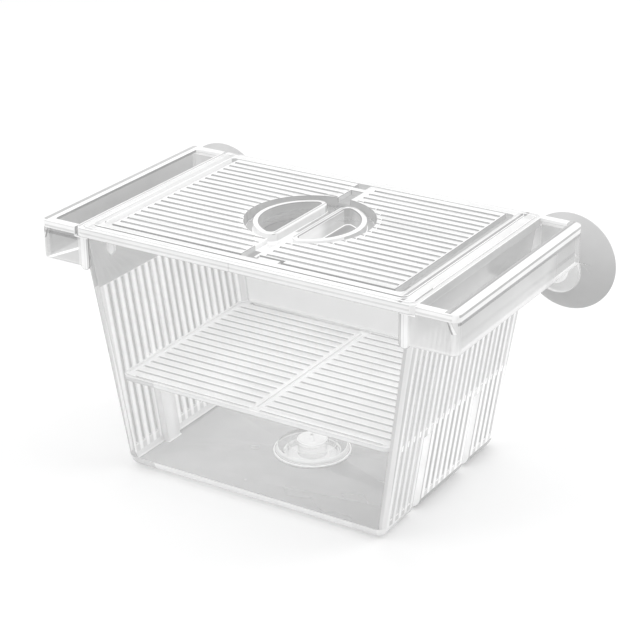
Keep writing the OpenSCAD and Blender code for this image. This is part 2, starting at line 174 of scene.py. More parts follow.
class Tree:
    """A node tree in which one method adds any node."""

    def __init__(self, tree):
        self.nodes, self.links = tree.nodes, tree.links
        self.nodes.clear()

    def node(self, kind, settings, values, output=0):
        made = self.nodes.new(kind)
        for name, value in settings.items():
            setattr(made, name, value)
        for key, value in values.items():
            if isinstance(value, Socket):
                self.links.new(value.socket, made.inputs[key])
            else:
                made.inputs[key].default_value = value
        return Socket(self, made.outputs[output])

    def vector(self, x, y, z):
        return self.node("ShaderNodeCombineXYZ", {}, {"X": x, "Y": y, "Z": z})

    def noise(self, place, scale, detail=2.0):
        return self.node("ShaderNodeTexNoise", {}, {"Vector": place, "Scale": scale, "Detail": detail}, "Fac")


# Camera, light and floor

def camera():
    a, e, r = (math.radians(x) for x in (AZIMUTH, ELEVATION, ROLL))
    right = Vector((math.cos(a), math.sin(a), 0))
    ahead = Vector((-math.sin(a) * math.cos(e), math.cos(a) * math.cos(e), -math.sin(e)))
    up = right.cross(ahead)
    across = math.cos(r) * right + math.sin(r) * up
    top = -math.sin(r) * right + math.cos(r) * up
    data = bpy.data.cameras.new("camera")
    data.lens = LENS
    data.sensor_width = SENSOR
    obj = bpy.data.objects.new("camera", data)
    turn = Matrix((across, top, -ahead)).transposed()
    obj.matrix_world = Matrix.Translation(AIM - DISTANCE * ahead) @ turn.to_4x4()
    bpy.context.scene.collection.objects.link(obj)
    bpy.context.scene.camera = obj


def area(name, place, aim, size, power):
    """Rectangular light that looks from its place at its aim."""
    data = bpy.data.lights.new(name, "AREA")
    data.shape = "RECTANGLE"
    data.size, data.size_y = size
    data.energy = power
    obj = bpy.data.objects.new(name, data)
    place = Vector(place)
    obj.matrix_world = Matrix.Translation(place) @ (Vector(aim) - place).to_track_quat("-Z", "Y").to_matrix().to_4x4()
    bpy.context.scene.collection.objects.link(obj)


def shows_background(tree):
    """1 for rays that see the background, straight on or through gloss and clear plastic."""
    path = tree.nodes.new("ShaderNodeLightPath")
    seen = [Socket(tree, path.outputs[name]) for name in ("Is Camera Ray", "Is Glossy Ray", "Is Transmission Ray")]
    return (seen[0] + seen[1] + seen[2]).clamp()


def world():
    made = bpy.data.worlds.new("studio")
    bpy.context.scene.world = made
    made.use_nodes = True
    tree = Tree(made.node_tree)
    shader = tree.node("ShaderNodeBackground", {}, {"Strength": shows_background(tree) * 0.1 + 0.9})
    out = tree.nodes.new("ShaderNodeOutputWorld")
    tree.links.new(shader.socket, out.inputs["Surface"])
    tree.nodes["Background"].inputs["Color"].default_value = (1, 1, 1, 1)


def floor():
    size, depth = 4.0, -0.0005
    mesh = bpy.data.meshes.new("floor")
    corners = [(-size, -size, depth), (size, -size, depth), (size, size, depth), (-size, size, depth)]
    mesh.from_pydata(corners, [], [(0, 1, 2, 3)])
    obj = bpy.data.objects.new("floor", mesh)
    bpy.context.scene.collection.objects.link(obj)
    made = bpy.data.materials.new("floor")
    made.use_nodes = True
    tree = Tree(made.node_tree)
    values = {"Base Color": (0.8, 0.8, 0.8, 1), "Roughness": 0.9}
    values.update({"Emission Color": (1, 1, 1, 1), "Emission Strength": shows_background(tree) * 0.12})
    shader = tree.node("ShaderNodeBsdfPrincipled", {}, values)
    out = tree.nodes.new("ShaderNodeOutputMaterial")
    tree.links.new(shader.socket, out.inputs["Surface"])
    mesh.materials.append(made)


# Materials

def plastic(name, colour, alpha, grazing=0.0, rough=0.1, shade=None, ripple=0.0, mottle=0.06, tone=None,
            haze=None, painted_glow=0.0):
    """Moulded clear plastic. Its colour and alpha stand for how much light it sends back, and grazing adds to alpha
    where the surface turns away. shade is the colour of the painted shade on faces that look down, ripple the
    strength of the waves in the surface, and mottle the change of its colour. tone and haze are functions that change
    the colour and the alpha over the piece, from the place in metres; the tones paint light and shade.
    painted_glow is emission that paints light on it, the same everywhere, to lighten it where little light falls."""
    made = bpy.data.materials.new(name)
    made.use_nodes = True
    tree = Tree(made.node_tree)
    place = tree.node("ShaderNodeTexCoord", {}, {}, "Object")
    cloud = tree.noise(place, 55.0)
    fine = tree.noise(place, 900.0)
    values = {"IOR": 1.5, "Roughness": cloud * 0.1 + fine * 0.05 + (rough - 0.05)}
    facing = tree.node("ShaderNodeLayerWeight", {}, {"Blend": 0.5}, "Facing")
    cover = (facing ** 3) * grazing + cloud * 0.06 + (alpha - 0.03)
    if haze is not None:
        cover = cover * haze(*place.parts())
    values["Alpha"] = cover.clamp()
    level = cloud * (2 * mottle) + (colour - mottle)
    if shade is not None:
        up = tree.node("ShaderNodeTexCoord", {}, {}, "Normal").parts()[2]
        level = level * up.ramp(-0.5, 0.4, shade / colour, 1.0)
    if tone is not None:
        level = level * tone(*place.parts())
    values["Base Color"] = tree.node("ShaderNodeCombineColor", {}, {"Red": level, "Green": level, "Blue": level})
    if painted_glow:
        values["Emission Color"], values["Emission Strength"] = values["Base Color"], painted_glow
    if ripple:
        waves = {"Strength": ripple, "Distance": 0.0004, "Height": tree.noise(place, 90.0, 1.0)}
        values["Normal"] = tree.node("ShaderNodeBump", {}, waves)
    shader = tree.node("ShaderNodeBsdfPrincipled", {}, values)
    out = tree.nodes.new("ShaderNodeOutputMaterial")
    tree.links.new(shader.socket, out.inputs["Surface"])
    return made


# Every clear piece carries the same list of finishes, and a face names one by its place in the list
(PANE, BACK, PLATE, STRIP, BAR, EDGE, SLOT, GROOVE, LINE, WALLS, FLOOR, BORDER, DOME, WELL, FOOT, LIT, RIB,
 FLANK) = range(18)

# Places in the finishes, in metres: the front of the rim, the front and the outer faces of the frames, the faces on
# top, where the front of the pillars begins and ends, and the tray's edge
RIM_FRONT, FRAME_FRONT, FRAME_SIDE, TOP = -0.0556, -0.0535, 0.0993, 0.1105
PILLAR_FRONT = (-0.026, -0.020)
TRAY_EDGE = (0.0396, 0.0424)


def stripe(value, low, high, soft=0.0002):
    """1 between low and high, 0 outside, with soft borders."""
    return value.ramp(low - soft, low + soft) - value.ramp(high - soft, high + soft)


def lines(value, *rows):
    """Sum of stripes, each given as its borders and its strength."""
    return sum(stripe(value, low, high) * strength for low, high, strength in rows)


def near(value, pitch):
    """Distance to the nearest multiple of a pitch given in millimetres."""
    return value.math("PINGPONG", pitch * 0.0005)


def corner_slant(x, z, low, high):
    """Slanted stripe at the frames' front corners, which carries a painted shade line and a painted highlight."""
    return stripe(abs(x) - 0.0955 + (z - 0.1075) * 0.42, low, high) * stripe(z, 0.1026, 0.1080)


def bar_shade(x, y, z):
    """Painted shade: grey lines, two along the front of the rim, one along the outer faces of the frames, one beside
    the lid's bead, one along each straight wall of the hatch, and those that carry the lid's slots on to the hatch and
    the strip. The lid's right and back borders and the tank's front corners are painted greyer."""
    r = (x * x + y * y).sqrt()
    top = z > TOP
    collar = stripe(r, 0.0282, 0.0302) * (abs(x - 0.0012) > 0.005)
    beside = stripe(x, -0.0063, -0.0036) * (r > 0.0298) * (abs(y) < 0.0435)
    slot = collar.largest(beside) * (near(y, LID_PITCH) < 0.00062) * 0.6
    lid = lines(x, (0.0738, 0.0754, 0.45), (-0.0763, -0.0725, 0.22), (-0.0806, -0.0795, 0.35))
    borders = (x > 0.0722) * 0.12 + (y > 0.0485) * (abs(x) < 0.08) * 0.08
    well = stripe(abs(x), 0.0042, 0.0051) * (abs(y) < 0.0215) * 0.35
    wall = (abs(x - 0.0059) < 0.0004) * y.ramp(-0.004, 0.006) * 0.35 + (abs(x + 0.0035) < 0.0004) * 0.12
    rim = (y < RIM_FRONT) * lines(z, (0.1100, 0.1108, 0.22), (0.1080, 0.1088, 0.22))
    side = (abs(x) > 0.0996) * stripe(z, 0.1092, 0.1103) * 0.45
    corner = (z < 0.1) * (y < -0.046) * ((x > 0.05) * 0.06 + (x < -0.05) * 0.22)
    return 1.0 - corner - rim - side - top * (lid + borders + well + slot) - (1.0 - top) * (z > 0.1) * wall


def rib_shade(x, y, z):
    """Painted shade: the bars of the end walls are greyer towards the slots between them, and on the right above the
    tray and in front of the pillars. The wall above the slots is painted dark."""
    right = x > 0.0
    above = z > right * 0.0105 + 0.0822
    groove = near(y, END_PITCH).ramp(0.0009, 0.0019, 0.28, 0.0)
    right_shade = right * z.ramp(0.0405, 0.0425, 0.0, 0.14).largest(y.ramp(*PILLAR_FRONT, 0.19, 0.0))
    return 1.0 - (1.0 - above) * (groove + right_shade) - above * (right * 0.08 + 0.5)


def slot_light(x, y, z):
    """Painted light and shade: the slots in the right end are lighter above the tray and in front of the pillars, and
    a painted bright line shows the tray's edge.
    """
    light = y.ramp(*PILLAR_FRONT, 0.42, 0.34) - (z < TRAY_EDGE[0]) * (y > PILLAR_FRONT[1]) * 0.15
    return (x > 0.0) * (light + stripe(z, *TRAY_EDGE) * 0.6) + 1.0


def frame_haze_and_highlight(x, y, z):
    """The outer walls of the hanging frames are clearer at the back, and their legs and front corners milkier; with
    the lighter colour there, this paints highlights on them.
    """
    across = abs(x)
    leg = (y < FRAME_FRONT) * (stripe(across, 0.0745, 0.0786) + corner_slant(x, z, 0.0006, 0.0015)) * 0.6
    corner = (y < -0.0525) * across.ramp(0.0965, 0.0975) * 0.3
    return y.ramp(0.022, 0.036, 1.0, 0.5).largest(across < FRAME_SIDE) + leg + corner


def frame_shade(x, y, z):
    """Painted shade and highlight: grey lines along the legs, beside the corner and under the flange, lighter bands on
    the legs and the corner, and a small dark and bright slant at the corner. The walls are darker towards the top,
    and the left frame's front is grey with a light line across it."""
    across = abs(x)
    legs = lines(across, (0.0750, 0.0757, 0.45), (0.0766, 0.0769, 0.2), (0.0745, 0.0786, -0.2))
    corner = stripe(across, 0.0950, 0.0970) * 0.1 - across.ramp(0.0970, 0.0980) * 0.15
    corner = corner + corner_slant(x, z, -0.0002, 0.0004) * 0.7 - corner_slant(x, z, 0.0006, 0.0015) * 0.2
    slant = stripe(z - x * 0.44, 0.1358, 0.1368) * 0.8
    left = (x < -0.0800) * (across < 0.1) * (stripe(z, 0.1050, 0.1062) * 0.3 + 0.25 - slant)
    right = (x > 0.0790) * (x < 0.0945) * 0.04
    front = (y < FRAME_FRONT) * (legs + corner + left + right)
    under = (across > FRAME_SIDE) * stripe(z, 0.1059, 0.1071) * 0.5
    return z.ramp(0.095, 0.107, 1.0, 0.84) - front - under - (x > FRAME_SIDE) * 0.04


def back_haze(x, y, z):
    """The back wall is clearer below the tray."""
    return z.ramp(0.036, 0.044, 0.6, 1.1)


def strip_shade(x, y, z):
    """Painted shade: a grey line along the walls beside the frames' openings."""
    return 1.0 - stripe(z, 0.0970, 0.0988) * 0.25


def flange_shade(x, y, z):
    """Painted shade: lines along the flanges at the two ends; the left one is grey in its middle, the right one dark
    inside.
    """
    left = (-0.0987, -0.0966, 0.48)
    right = ((0.0940, 0.0956, 0.5), (0.0956, 0.0966, 0.6), (0.0980, 0.0989, 0.12))
    return 1.0 - lines(x, left, *right)


def floor_shade(x, y, z):
    """Painted shade: the floor is darker to the right and lighter at the back."""
    return x.ramp(-0.05, 0.055, 1.2, 0.88) * y.ramp(-0.01, 0.03, 1.0, 1.25)


def plate_tone(x, y, z):
    """The sunk strip at the left end is light, and the front of the round area lies in the glare, a painted highlight.
    """
    glare = (x * 0.485 - y * 0.875).ramp(0.0035, 0.0060) * y.ramp(-0.0375, -0.0365)
    return x.ramp(-0.0685, -0.0675, 1.75, 1.0) + glare * (abs(x) < 0.03) * 1.1


def well_shade(x, y, z):
    """Painted shade: the floors of the finger wells are darker than their walls, and the right well is lighter at its
    end.
    """
    return x.ramp(0.0085, 0.0125, 1.0, 1.2) * z.ramp(0.1039, 0.1045, 0.9, 1.3)


def foot_shade(x, y, z):
    """Painted shade and light: the foot of the end walls is lighter in front of the pillars and has a grey line along
    its top.
    """
    return y.ramp(*PILLAR_FRONT, 1.6, 1.0) - stripe(z, 0.0056, 0.0070) * 0.3


def finishes():
    # One clear plastic in lit and shaded copies: end_strip, end_slot_wall, slot_wall, dark_line, finger_well and
    # foot_band are darker for painted shade, bright_edge is white for painted highlights on the edges, milky_wall
    # carries the painted shade and highlights of frame_shade, and pillar_groove and end_rib glow with painted light.
    return [
        plastic("clear_pane", 0.7, 0.05, 0.4, ripple=0.25),
        plastic("back_pane", 0.5, 0.22, 0.4, ripple=0.25, haze=back_haze),
        plastic("sunk_plate", 0.47, 0.88, 0.1, rough=0.2, tone=plate_tone),
        plastic("end_strip", 0.57, 0.9, 0.1, rough=0.2, tone=strip_shade),
        plastic("bright_bar", 0.98, 0.8, 0.2, tone=bar_shade),
        plastic("bright_edge", 1.0, 0.9, 0.1, shade=0.6),
        plastic("end_slot_wall", 0.66, 0.8, 0.2, tone=slot_light),
        plastic("slot_wall", 0.6, 0.85, 0.1),
        plastic("dark_line", 0.36, 0.9, 0.1),
        plastic("milky_wall", 0.84, 0.55, 0.2, ripple=0.2, haze=frame_haze_and_highlight, tone=frame_shade),
        plastic("floor_plate", 0.6, 0.35, 0.4, ripple=0.12, tone=floor_shade),
        plastic("flange_top", 0.98, 0.85, 0.1, tone=flange_shade),
        plastic("plug_dome", 0.7, 0.12, 0.5, ripple=0.1),
        plastic("finger_well", 0.38, 0.85, 0.1, rough=0.2, tone=well_shade),
        plastic("foot_band", 0.6, 0.85, 0.1, tone=foot_shade),
        plastic("pillar_groove", 0.9, 0.7, 0.2, painted_glow=0.35),
        plastic("end_rib", 0.98, 0.8, 0.2, tone=rib_shade, painted_glow=0.22),
        plastic("well_flank", 0.6, 0.8, 0.1),
    ]


# Shapes, in millimetres

def end_x(z, off):
    """How far the skin of the right end wall lies from the middle at a height, where its corners have the radius off:
    EDGE_R for the outer skin, INNER for the inner one."""
    return FOOT_L / 2 + SLOPE_X * z + (off - EDGE_R) * math.hypot(1, SLOPE_X)


def side_y(z, off):
    """The same for the back wall."""
    return FOOT_W / 2 + SLOPE_Y * z + (off - EDGE_R) * math.hypot(1, SLOPE_Y)


def rounded(l, w, r, z, steps=6):
    """Ring of points round a rectangle with rounded corners."""
    ring = []
    for turn, (sx, sy) in enumerate(((1, 1), (-1, 1), (-1, -1), (1, -1))):
        for step in range(steps + 1):
            a = math.radians(90 * (turn + step / steps))
            ring.append((sx * (l / 2 - r) + r * math.cos(a), sy * (w / 2 - r) + r * math.sin(a), z))
    return ring


def circle(r, z, steps=96):
    return [(r * math.cos(math.tau * i / steps), r * math.sin(math.tau * i / steps), z) for i in range(steps)]


def piece(name, verts, faces):
    """Object of a closed mesh, merged and with its normals outward."""
    mesh = bpy.data.meshes.new(name)
    mesh.from_pydata(verts, [], faces)
    work = bmesh.new()
    work.from_mesh(mesh)
    bmesh.ops.remove_doubles(work, verts=work.verts, dist=1e-4)
    bmesh.ops.recalc_face_normals(work, faces=work.faces)
    work.to_mesh(mesh)
    work.free()
    obj = bpy.data.objects.new(name, mesh)
    bpy.context.scene.collection.objects.link(obj)
    return obj


def loft(name, rings):
    """Closed solid through rings of equally many points."""
    n = len(rings[0])
    faces = [tuple(range(n))[::-1], tuple(range((len(rings) - 1) * n, len(rings) * n))]
    for k in range(len(rings) - 1):
        for i in range(n):
            j = (i + 1) % n
            faces.append((k * n + i, k * n + j, k * n + n + j, k * n + n + i))
    return piece(name, [p for ring in rings for p in ring], faces)


def slab(l, w, r, z0, z1):
    return loft("slab", [rounded(l, w, r, z0), rounded(l, w, r, z1)])


def disc(r, z0, z1):
    return loft("disc", [circle(r, z0), circle(r, z1)])


def lathe(name, profile, steps=96):
    """Closed solid of a profile in radius and height, turned round the Z axis."""
    ring = [(math.cos(math.tau * i / steps), math.sin(math.tau * i / steps)) for i in range(steps)]
    verts = [(r * c, r * s, z) for r, z in profile for c, s in ring]
    faces = []
    for k in range(len(profile) - 1):
        for i in range(steps):
            j = (i + 1) % steps
            faces.append((k * steps + i, k * steps + j, (k + 1) * steps + j, (k + 1) * steps + i))
    return piece(name, verts, faces)


def block(x0, x1, y0, y1, z0, z1):
    return prism([(x0, z0), (x1, z0), (x1, z1), (x0, z1)], y0, y1)


def prism(outline, y0, y1):
    """Outline in X and Z, drawn out from y0 to y1."""
    return loft("prism", [[(x, y, z) for x, z in outline] for y in (y0, y1)])


def settle(obj):
    """Puts the result of an object's modifiers into its mesh."""
    graph = bpy.context.evaluated_depsgraph_get()
    mesh = bpy.data.meshes.new_from_object(obj.evaluated_get(graph), depsgraph=graph)
    obj.modifiers.clear()
    obj.data = mesh
    return obj


def combine(base, operation, *tools):
    """Cuts the tools out of the base or joins them to it, and removes them."""
    for tool in tools:
        made = base.modifiers.new("combine", "BOOLEAN")
        made.operation, made.solver, made.object = operation, "EXACT", tool
    settle(base)
    for tool in tools:
        bpy.data.objects.remove(tool)
    return base


def cut(base, *tools):
    return combine(base, "DIFFERENCE", *tools)


def join(base, *tools):
    return combine(base, "UNION", *tools)


def mirrored(obj, *signs):
    """Copy of an object, mirrored on the axes whose sign is -1."""
    made = bpy.data.objects.new(obj.name, obj.data.copy())
    bpy.context.scene.collection.objects.link(made)
    made.data.transform(Matrix.Diagonal((*signs, 1)))
    if math.prod(signs) < 0:
        made.data.flip_normals()
    return made


def from_solid(name):
    """Copy of a solid's mesh, merged and with its flat faces whole."""
    mesh = frame["nodes"][name].data.copy()
    mesh.transform(Matrix.Scale(1000, 4))
    mesh.materials.clear()
    work = bmesh.new()
    work.from_mesh(mesh)
    bmesh.ops.remove_doubles(work, verts=work.verts, dist=1e-3)
    bmesh.ops.dissolve_limit(work, angle_limit=math.radians(0.5), verts=work.verts, edges=work.edges)
    work.to_mesh(mesh)
    work.free()
    obj = bpy.data.objects.new(name + "_look", mesh)
    bpy.context.scene.collection.objects.link(obj)
    return obj


# Rows of slots

def slot_tree():
    """Cuts rows of slots along X on both sides of the middle. A row starts at Start, or where it leaves a circle,
    and stops at End. Rows near Post start at the height Raised."""
    group = bpy.data.node_groups.new("slot_rows", "GeometryNodeTree")
    face = group.interface
    face.new_socket("Geometry", in_out="INPUT", socket_type="NodeSocketGeometry")
    for name in ("Pitch", "Width", "Start", "End", "Circle", "Bottom", "Top", "Post", "Post Half", "Raised"):
        face.new_socket(name, in_out="INPUT", socket_type="NodeSocketFloat")
    face.new_socket("Rows", in_out="INPUT", socket_type="NodeSocketInt")
    face.new_socket("Wall", in_out="INPUT", socket_type="NodeSocketMaterial")
    face.new_socket("Geometry", in_out="OUTPUT", socket_type="NodeSocketGeometry")
    tree = Tree(group)
    given = tree.nodes.new("NodeGroupInput")
    value = {name: Socket(tree, given.outputs[name]) for name in given.outputs.keys() if name}
    span = value["Pitch"] * (value["Rows"] - 1)
    grid = {"Size X": 2.0, "Size Y": span, "Vertices X": 2, "Vertices Y": value["Rows"]}
    points = tree.node("GeometryNodeMeshGrid", {}, grid)
    side, y, _ = tree.node("GeometryNodeInputPosition", {}, {}).parts()
    round_x = ((value["Circle"] * value["Circle"] - y * y).largest(0.0)).sqrt()
    start = value["Start"].largest(round_x)
    at_post = abs(abs(y) - value["Post"]) < value["Post Half"]
    bottom = value["Bottom"] + at_post * (value["Raised"] - value["Bottom"])
    middle = tree.vector(side * (start + value["End"]) * 0.5, y, (bottom + value["Top"]) * 0.5)
    size = tree.vector(value["End"] - start, value["Width"], value["Top"] - bottom)
    points = tree.node("GeometryNodeSetPosition", {}, {"Geometry": points, "Position": middle})
    cutter = tree.node("GeometryNodeMeshCube", {}, {"Size": (1, 1, 1)})
    rows = tree.node("GeometryNodeInstanceOnPoints", {}, {"Points": points, "Instance": cutter, "Scale": size})
    rows = tree.node("GeometryNodeRealizeInstances", {}, {"Geometry": rows})
    mark = {"Geometry": rows, "Name": "slot_wall", "Value": True}
    rows = tree.node("GeometryNodeStoreNamedAttribute", {"data_type": "BOOLEAN", "domain": "FACE"}, mark)
    subtract = {"operation": "DIFFERENCE", "solver": "EXACT"}
    result = tree.node("GeometryNodeMeshBoolean", subtract, {0: value["Geometry"], 1: rows})
    result = tree.node("GeometryNodeRealizeInstances", {}, {"Geometry": result})
    walls = tree.node("GeometryNodeInputNamedAttribute", {"data_type": "BOOLEAN"}, {"Name": "slot_wall"})
    paint = {"Geometry": result, "Selection": walls, "Material": value["Wall"]}
    result = tree.node("GeometryNodeSetMaterial", {}, paint)
    out = tree.nodes.new("NodeGroupOutput")
    tree.links.new(result.socket, out.inputs[0])
    return group


def slots(obj, **sizes):
    """Cuts slots into a piece with the tree of slot rows. Inputs that aren't given stay 0."""
    made = obj.modifiers.new("slots", "NODES")
    made.node_group = SLOT_ROWS
    for item in SLOT_ROWS.interface.items_tree:
        key = item.name.replace(" ", "_").lower()
        if item.in_out == "INPUT" and key in sizes:
            made[item.identifier] = sizes[key]
    return settle(obj)


def score(obj, *cuts):
    """Splits the faces of a piece along planes, each given as an axis and its place on it."""
    work = bmesh.new()
    work.from_mesh(obj.data)
    for axis, place in cuts:
        point, normal = Vector((0, 0, 0)), Vector((0, 0, 0))
        point[axis], normal[axis] = place, 1
        everything = work.verts[:] + work.edges[:] + work.faces[:]
        bmesh.ops.bisect_plane(work, geom=everything, dist=1e-4, plane_co=point, plane_no=normal)
    work.to_mesh(obj.data)
    work.free()


def dress(obj, body, nodes, width, segments=2, rule=None, edges=None, shadow=False):
    """Finishes a piece: its list of finishes, bevelled edges, faces painted by rule and edges by another, metres, and
    its place in the frame."""
    if not obj.data.materials:
        with_finishes(obj)
    obj.data.shade_smooth()
    if width:
        made = obj.modifiers.new("bevel", "BEVEL")
        made.width, made.segments, made.angle_limit = width, segments, math.radians(35)
        made.use_clamp_overlap, made.harden_normals, made.material = False, True, EDGE
        settle(obj)
    for face in obj.data.polygons:
        if rule and face.material_index == PANE:
            face.material_index = rule(face.center, face.normal)
        elif edges and face.material_index == EDGE:
            face.material_index = edges(face.center, face.normal)
    obj.data.set_sharp_from_angle(angle=math.radians(35))
    obj.data.transform(Matrix.Scale(0.001, 4))
    obj.visible_shadow = obj.visible_diffuse = shadow
    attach(obj, body)
    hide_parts(*nodes)


def with_finishes(obj):
    """Gives a piece the list of finishes."""
    for made in FINISHES:
        obj.data.materials.append(made)
    return obj


# Tank with its slotted ends

def tub_rings(t):
    """Rings of the tub from its floor up to its straight walls, t inside its skin."""
    r, h = EDGE_R - t, FOOT_R - t
    core_x, core_y = end_x(FOOT_R, r) - r, side_y(FOOT_R, r) - r
    rings = []
    for step in range(7):
        a = math.radians(15 * step)
        k = math.sin(a) * r
        rings.append(rounded(2 * (core_x + k), 2 * (core_y + k), k, FOOT_R - h * math.cos(a)))
    return rings


def pillar(z0, z1, t, reach):
    """Block that follows a pillar of the right end, t inside its faces, out to reach inside the wall's outer face."""
    inner = lambda z: end_x(z, INNER) - PILLAR_D + t
    outline = [(inner(z0), z0), (end_x(z0, reach), z0), (end_x(z1, reach), z1), (inner(z1), z1)]
    return prism(outline, PILLAR_Y - PILLAR_W / 2 + t, PILLAR_Y + PILLAR_W / 2 - t)


def four(make):
    """A solid of the right back quarter and its mirror images in the other three."""
    first = make()
    return [first] + [mirrored(first, *signs) for signs in ((-1, 1, 1), (1, -1, 1), (-1, -1, 1))]


def tank():
    """Tub with a rim, a ledge for the lid, four hollow pillars for the tray, a drain hole and rows of end slots."""
    open_l, open_w = (2 * (f(RIM_FOOT, INNER) - LEDGE) for f in (end_x, side_y))
    wall = lambda z, off: rounded(2 * end_x(z, off), 2 * side_y(z, off), off, z)
    rings = tub_rings(0) + [wall(RIM_FOOT, EDGE_R)]
    rings += [rounded(RIM_L, RIM_W, RIM_R, z) for z in (RIM_FOOT, TANK_H)]
    rings += [rounded(RIM_L - 2 * LIP, RIM_W - 2 * LIP, RIM_R - LIP / 2, z) for z in (TANK_H, SEAT)]
    rings += [rounded(open_l, open_w, INNER, z) for z in (SEAT, RIM_FOOT - 1)]
    rings += [wall(RIM_FOOT - 1, INNER)] + tub_rings(WALL)[::-1]
    obj = loft("tank_look", rings)
    outline = [(end_x(PILLAR_Z0, INNER) - PILLAR_D, PILLAR_Z0), (PILLAR_FOOT_X, PILLAR_Z0)]
    outline += [(end_x(z, PILLAR_OUT), z) for z in (PILLAR_BEND, PILLAR_TOP)]
    outline += [(end_x(PILLAR_TOP, INNER) - PILLAR_D, PILLAR_TOP)]
    join(obj, *four(lambda: prism(outline, PILLAR_Y - PILLAR_W / 2, PILLAR_Y + PILLAR_W / 2)))
    cut(obj, *four(lambda: pillar(-1, PILLAR_TOP - 2, PILLAR_T, 20)), disc(DRAIN_R, -1, 4))
    with_finishes(obj)
    slots(obj, pitch=END_PITCH, rows=END_ROWS, width=END_SLOT, end=RIM_L / 2 + 5, bottom=END_Z0, top=END_Z1,
          post=PILLAR_Y, post_half=(PILLAR_W + END_SLOT) / 2 + 0.3, raised=PILLAR_TOP + 2, wall=FINISHES[SLOT])

    def rule(p, n):
        # Painted shade and light: STRIP darkens the right end of the rim and the end walls above the slots, FOOT the
        # band along the foot, a facet of each front corner is painted as a bright edge, and the pillars' outer faces
        # glow (LIT).
        if p.z > RIM_FOOT - 0.2:
            return STRIP if n.x > 0.9 and p.x > RIM_L / 2 - 1 else BAR      # the rim
        if p.z < FOOT_R and n.z < -0.1:
            if n.z < -0.9 or p.y > 0 and abs(n.x) < 0.2:
                return BACK
            return FOOT if abs(n.x) > 0.2 and p.z < 6.2 else BAR
        off = abs(abs(p.y) - PILLAR_Y)
        if p.z < PILLAR_TOP + 1 and off < PILLAR_W / 2 + 0.1 and abs(p.x) > 55:
            outside = n.x * p.x > 0 if abs(n.x) > 0.9 else off < (PILLAR_W - PILLAR_T) / 2
            return LIT if outside else BAR
        if abs(n.x) > 0.95:
            return RIB if p.z < END_Z1 + 2 else STRIP
        if abs(n.z) > 0.9:
            return FLOOR
        if p.y < 0:
            return PANE if abs(n.x) < 0.5 else EDGE if abs(n.x) < 0.7 else BAR
        return BAR if abs(n.x) > 0.3 else BACK
    dress(obj, "tank", ("tank_shell", "left_end_grille", "right_end_grille"), 0.3, rule=rule, shadow=True)


# Lid

